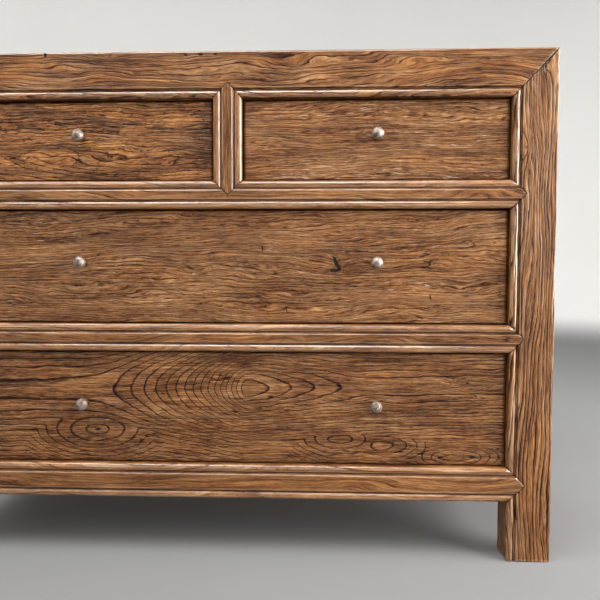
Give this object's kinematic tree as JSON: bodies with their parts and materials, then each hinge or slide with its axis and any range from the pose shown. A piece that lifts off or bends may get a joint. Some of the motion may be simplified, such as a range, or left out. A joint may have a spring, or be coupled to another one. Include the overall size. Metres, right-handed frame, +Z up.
{
  "type": "dresser",
  "caption": "Low wooden dresser in a mitred, beaded frame, with short drawers side by side over wide ones, each sliding on runners and pulled by round metal knobs.",
  "frame": {"origin": "on the floor, under the middle of the whole object's box", "axes": "+X to the right along the front, +Y from the front to the back, +Z up"},
  "size_m": [1.082, 0.465, 0.85],
  "materials": {
    "stained_elm": "wire-brushed elm, stained warm brown, thin satin lacquer",
    "inner_wood": "planed pale hardwood, unstained and waxed",
    "aged_pewter": "satin aged pewter"
  },
  "bodies": {
    "carcass": {"post_front_left": "stained_elm", "post_front_right": "stained_elm", "post_rear_left": "stained_elm", "post_rear_right": "stained_elm", "top_rail_front": "stained_elm", "top_rail_rear": "stained_elm", "top_rail_left": "stained_elm", "top_rail_right": "stained_elm", "top_panel": "stained_elm", "upper_rail": "stained_elm", "middle_rail": "stained_elm", "bottom_rail_front": "stained_elm", "muntin": "stained_elm", "bottom_rail_left": "stained_elm", "bottom_rail_right": "stained_elm", "bottom_rail_rear": "stained_elm", "upper_rail_rear": "stained_elm", "side_panel_left": "stained_elm", "side_panel_right": "stained_elm", "back_panel_upper": "stained_elm", "back_panel_lower": "stained_elm", "runner_upper_left": "inner_wood", "runner_upper_right": "inner_wood", "runner_upper_centre": "inner_wood", "guide_centre": "inner_wood", "runner_middle_left": "inner_wood", "runner_middle_right": "inner_wood", "runner_bottom_left": "inner_wood", "runner_bottom_right": "inner_wood", "kicker_left": "inner_wood", "kicker_centre": "inner_wood", "kicker_right": "inner_wood"},
    "drawer_top_left": {"drawer_top_left_front": "stained_elm", "drawer_top_left_side_left": "inner_wood", "drawer_top_left_side_right": "inner_wood", "drawer_top_left_back": "inner_wood", "drawer_top_left_bottom": "inner_wood", "knob_top_left": "aged_pewter"},
    "drawer_top_right": {"drawer_top_right_front": "stained_elm", "drawer_top_right_side_left": "inner_wood", "drawer_top_right_side_right": "inner_wood", "drawer_top_right_back": "inner_wood", "drawer_top_right_bottom": "inner_wood", "knob_top_right": "aged_pewter"},
    "drawer_middle": {"drawer_middle_front": "stained_elm", "drawer_middle_side_left": "inner_wood", "drawer_middle_side_right": "inner_wood", "drawer_middle_back": "inner_wood", "drawer_middle_bottom": "inner_wood", "knob_middle_left": "aged_pewter", "knob_middle_right": "aged_pewter"},
    "drawer_bottom": {"drawer_bottom_front": "stained_elm", "drawer_bottom_side_left": "inner_wood", "drawer_bottom_side_right": "inner_wood", "drawer_bottom_back": "inner_wood", "drawer_bottom_bottom": "inner_wood", "knob_bottom_left": "aged_pewter", "knob_bottom_right": "aged_pewter"}
  },
  "joints": [
    {"name": "slide_top_left", "type": "slide", "parent": "carcass", "child": "drawer_top_left", "axis": [0, -1, 0], "range_m": [0, 0.3]},
    {"name": "slide_top_right", "type": "slide", "parent": "carcass", "child": "drawer_top_right", "axis": [0, -1, 0], "range_m": [0, 0.3]},
    {"name": "slide_middle", "type": "slide", "parent": "carcass", "child": "drawer_middle", "axis": [0, -1, 0], "range_m": [0, 0.3]},
    {"name": "slide_bottom", "type": "slide", "parent": "carcass", "child": "drawer_bottom", "axis": [0, -1, 0], "range_m": [0, 0.3]}
  ]
}
